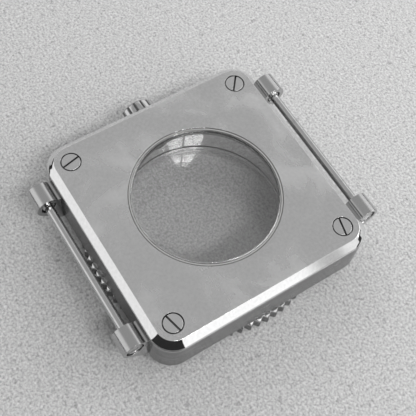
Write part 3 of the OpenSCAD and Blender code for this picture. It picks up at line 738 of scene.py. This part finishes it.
class WATCHCASE_OT_case_back(bpy.types.Operator):
    """Finish the back ring, its frame, glass and seals"""

    bl_idname = "watchcase.case_back"
    bl_label = "Case back"

    def execute(self, context):
        look = context.scene.watchcase_finishes
        # The sides of the teeth are painted darker, as painted shade, from 0.45 mm under the top of the ring
        # down
        ring = machined_back_steel("machined_steel_back_ring", tuple(look.back_colour),
                                   painted_shade_top=RING_HIGH.z - 0.45 * MM)
        finish("case_back_ring", ring, look.edge_width)
        inner = machined_back_steel("machined_steel_back_frame", tuple(look.back_colour), painted_shade_top=0.0)
        finish("case_back_frame", inner, look.edge_width)
        mineral = clear_glass("polished_mineral_back_glass", ior=1.52, tint=linear("#f4f4f4"))
        finish("case_back_glass", mineral, look.edge_width)
        nylon = moulded_seal("moulded_nylon_back_seal", tuple(look.seal_colour), rough=0.42, grain_mm=0.2)
        finish("case_back_glass_gasket", nylon, look.edge_width * SMALL_EDGE)
        rubber = moulded_seal("moulded_nitrile_rubber_back_seal", tuple(look.rubber_colour),
                              rough=0.55, grain_mm=0.15)
        moulded_ring("back_seal", "case_back_gasket", "back_window", rubber, "Z")
        return {"FINISHED"}


class WATCHCASE_OT_strap_bars(bpy.types.Operator):
    """Finish the two strap bars and their four screws"""

    bl_idname = "watchcase.strap_bars"
    bl_label = "Strap bars and their screws"

    def execute(self, context):
        look = context.scene.watchcase_finishes
        bar = drawn_bar_steel(tuple(look.trim_colour))
        for side in ("12", "6"):
            finish("strap_bar_" + side, bar, look.edge_width)
            for end, way in (("left", -1), ("right", 1)):
                name = "bar_screw_%s_%s" % (side, end)
                low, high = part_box(name)
                head = Vector((low.x if way < 0 else high.x, (low.y + high.y) / 2, (low.z + high.z) / 2))
                steel = slotted_screw_steel("polished_steel_" + name, tuple(look.trim_colour), head,
                                            outward=Vector((way, 0, 0)), radius=(high.z - low.z) / 2,
                                            rim_width=0.35 * MM)
                finish(name, steel, look.edge_width)
        return {"FINISHED"}


class WATCHCASE_OT_stage(bpy.types.Operator):
    """Lay the floor and set up the lamps, the cards, the room and the camera"""

    bl_idname = "watchcase.stage"
    bl_label = "Floor, light and camera"

    def execute(self, context):
        stage = context.scene.watchcase_stage
        lay_floor(stage)
        hang_key_lamp(stage)
        hang_side_lamp(stage)
        hang_fill_lamps(stage)
        stand_dark_cards(stage)
        paint_room(stage)
        place_camera(stage)
        context.scene.view_settings.view_transform = "Standard"
        return {"FINISHED"}


def stage_object(name, mesh, material):
    """Makes an object of the stage from a bmesh."""
    data = bpy.data.meshes.new(name)
    mesh.to_mesh(data)
    mesh.free()
    made = bpy.data.objects.new(name, data)
    bpy.context.scene.collection.objects.link(made)
    data.materials.append(material)
    return made


def lay_floor(stage):
    """A wide round floor just under the lowest point of the case."""
    mesh = bmesh.new()
    bmesh.ops.create_circle(mesh, cap_ends=True, segments=128, radius=stage.floor_radius)
    bmesh.ops.translate(mesh, vec=(0, 0, CAD_BOUNDS[0].z - FLOOR_GAP), verts=mesh.verts)
    for face in mesh.faces:
        if face.normal.z < 0:
            face.normal_flip()
    stage_object("floor", mesh, cast_floor(tuple(stage.floor_colour)))


def hang_lamp(name, place, turn, width, height, power):
    """A soft rectangular lamp that the camera doesn't see."""
    data = bpy.data.lights.new(name, "AREA")
    data.shape = "RECTANGLE"
    data.size = width
    data.size_y = height
    data.energy = power
    lamp = bpy.data.objects.new(name, data)
    bpy.context.scene.collection.objects.link(lamp)
    lamp.matrix_world = Matrix.Translation(place) @ turn
    lamp.visible_camera = False
    return lamp


def hang_square_lamp(name, direction, distance, width, power):
    """A square lamp in the given direction from the case, which it faces."""
    towards = Vector(direction).normalized()
    turn = towards.to_track_quat("Z", "Y").to_matrix().to_4x4()
    return hang_lamp(name, towards * distance, turn, width, width, power)


def hang_key_lamp(stage):
    """The key is two panes side by side, with a narrow bar between them, high over the -X side."""
    middle = KEY_AIM + KEY_TOWARDS * stage.key_distance
    across = (Vector((0, 1, 0)) - KEY_TOWARDS * KEY_TOWARDS.y).normalized()
    turn = Matrix((across, KEY_TOWARDS.cross(across), KEY_TOWARDS)).transposed().to_4x4()
    for name, shift in KEY_PANES:
        hang_lamp(name, middle + across * shift, turn, *KEY_PANE_SIZE, stage.key_power / 2)


def hang_side_lamp(stage):
    """A soft lamp low beside the case, which throws its soft shadow towards 12 o'clock."""
    hang_square_lamp(*SIDE_LAMP, stage.side_power)


def hang_fill_lamps(stage):
    """Two wide lamps that the steel doesn't show. They give the case its soft shadows on the floor
    towards 3 and 9 o'clock."""
    for values in FILL_LAMPS:
        lamp = hang_square_lamp(*values, stage.fill_power)
        lamp.visible_glossy = False


def stand_dark_cards(stage):
    """Two dark cards for the steel to show: a curved one on the camera's side, which shades the floor
    a little too, and a low one all the way round, for the dim far edge of the room."""
    material = matt_black_card()
    for name, start, sweep, foot, head, shades in DARK_CARDS:
        mesh = bmesh.new()
        turn = Matrix.Rotation(math.radians(start), 3, "Z")
        rim = turn @ Vector((stage.card_distance, 0, 0))
        ends = [mesh.verts.new(rim + Vector((0, 0, height))) for height in (foot, head)]
        edge = mesh.edges.new(ends)
        bmesh.ops.spin(mesh, geom=[edge], cent=(0, 0, 0), axis=(0, 0, 1), dvec=(0, 0, 0),
                       angle=math.radians(sweep), steps=48, use_merge=sweep == 360, use_duplicate=False)
        card = stage_object(name, mesh, material)
        card.visible_camera = False
        card.visible_diffuse = shades
        card.visible_transmission = False
        card.visible_shadow = shades


def paint_room(stage):
    """A plain pale room: bright walls with one dim post, brightest on the -X side, and a softer
    ceiling."""
    world = bpy.data.worlds.new("pale_room")
    bpy.context.scene.world = world
    world.use_nodes = True
    tree = world.node_tree
    tree.nodes.clear()
    way = add_node(tree, "VectorMath", {"operation": "NORMALIZE"}, {
        0: add_node(tree, "TexCoord").outputs["Generated"]})
    axes = add_node(tree, "SeparateXYZ", {}, {"Vector": way})
    side = add_node(tree, "VectorMath", {"operation": "DOT_PRODUCT", 1: BRIGHT_SIDE}, {0: way})
    wall = add_node(tree, "MapRange", {
        "interpolation_type": "SMOOTHSTEP", "From Min": math.cos(math.radians(BRIGHT_FADE[0])),
        "From Max": math.cos(math.radians(BRIGHT_FADE[1])), "To Min": 1.1, "To Max": 1.4}, {
        "Value": side.outputs["Value"]})
    rise = add_node(tree, "MapRange", {
        "interpolation_type": "SMOOTHSTEP", "From Min": math.sin(math.radians(CEILING_EDGE[0])),
        "From Max": math.sin(math.radians(CEILING_EDGE[1]))}, {"Value": axes.outputs["Z"]})
    level = add_node(tree, "Mix", {"data_type": "FLOAT", "B": 0.5}, {"Factor": rise, "A": wall})
    # The end of the long bevel shows the dim post and the dimmer wall beyond it
    azimuth = add_node(tree, "Math", {"operation": "ARCTAN2"}, {0: axes.outputs["Y"], 1: axes.outputs["X"]})
    post = add_node(tree, "MapRange", {
        "interpolation_type": "SMOOTHSTEP", "From Min": math.radians(POST_EDGE[0]),
        "From Max": math.radians(POST_EDGE[1]), "To Min": 1.0, "To Max": 0.45}, {"Value": azimuth})
    beyond = add_node(tree, "MapRange", {
        "interpolation_type": "SMOOTHSTEP", "From Min": math.radians(BEYOND_POST_EDGE[0]),
        "From Max": math.radians(BEYOND_POST_EDGE[1])}, {"Value": azimuth})
    dim = add_node(tree, "Mix", {"data_type": "FLOAT", "B": 0.8}, {"Factor": beyond, "A": post})
    clear = add_node(tree, "MapRange", {
        "interpolation_type": "SMOOTHSTEP", "From Min": math.radians(BEYOND_POST_END[0]),
        "From Max": math.radians(BEYOND_POST_END[1])}, {"Value": azimuth})
    dim = add_node(tree, "Mix", {"data_type": "FLOAT", "B": 1.0}, {"Factor": clear, "A": dim})
    level = add_node(tree, "Math", {"operation": "MULTIPLY"}, {0: level, 1: dim})
    level = add_node(tree, "Math", {"operation": "MULTIPLY", 1: stage.room_level}, {0: level})
    room = add_node(tree, "Background", {"Color": linear("#ffffff")}, {"Strength": level})
    add_node(tree, "OutputWorld", {}, {"Surface": room})


def place_camera(stage):
    """The camera stands where the perspective of the photograph puts it."""
    data = bpy.data.cameras.new("photo_camera")
    data.sensor_width = 36
    data.lens = stage.focal_length
    data.clip_start = 0.005
    data.clip_end = 20
    camera = bpy.data.objects.new("photo_camera", data)
    bpy.context.scene.collection.objects.link(camera)
    up = CAMERA_RIGHT.cross(CAMERA_FORWARD).normalized()
    turn = Matrix((CAMERA_RIGHT, up, -CAMERA_FORWARD)).transposed().to_4x4()
    camera.matrix_world = Matrix.Translation(CAMERA_AT) @ turn
    bpy.context.scene.camera = camera


class WATCHCASE_PT_panel(bpy.types.Panel):
    """Lists the pieces of the watch case and their values"""

    bl_idname = "WATCHCASE_PT_panel"
    bl_label = "Watch case"
    bl_space_type = "VIEW_3D"
    bl_region_type = "UI"
    bl_category = "Watch case"

    def draw(self, context):
        layout = self.layout
        for values in (context.scene.watchcase_finishes, context.scene.watchcase_stage):
            box = layout.box()
            for name in values.bl_rna.properties.keys():
                if name not in ("rna_type", "name"):
                    box.prop(values, name)
        for operator in OPERATORS:
            layout.operator(operator.bl_idname)


OPERATORS = (
    WATCHCASE_OT_case_middle,
    WATCHCASE_OT_bezel,
    WATCHCASE_OT_crystal,
    WATCHCASE_OT_crown,
    WATCHCASE_OT_case_back,
    WATCHCASE_OT_strap_bars,
    WATCHCASE_OT_stage,
)
CLASSES = (CaseFinishes, StageSettings, *OPERATORS, WATCHCASE_PT_panel)


def register():
    """Adds the classes, and the values that the panel shows."""
    for entry in CLASSES:
        bpy.utils.register_class(entry)
    bpy.types.Scene.watchcase_finishes = bpy.props.PointerProperty(type=CaseFinishes)
    bpy.types.Scene.watchcase_stage = bpy.props.PointerProperty(type=StageSettings)


def unregister():
    """Takes away what register adds."""
    del bpy.types.Scene.watchcase_stage
    del bpy.types.Scene.watchcase_finishes
    for entry in reversed(CLASSES):
        bpy.utils.unregister_class(entry)


def main():
    """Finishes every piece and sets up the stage."""
    register()
    bpy.ops.watchcase.case_middle()
    bpy.ops.watchcase.bezel()
    bpy.ops.watchcase.crystal()
    bpy.ops.watchcase.crown()
    bpy.ops.watchcase.case_back()
    bpy.ops.watchcase.strap_bars()
    bpy.ops.watchcase.stage()


if __name__ == "__main__":
    main()
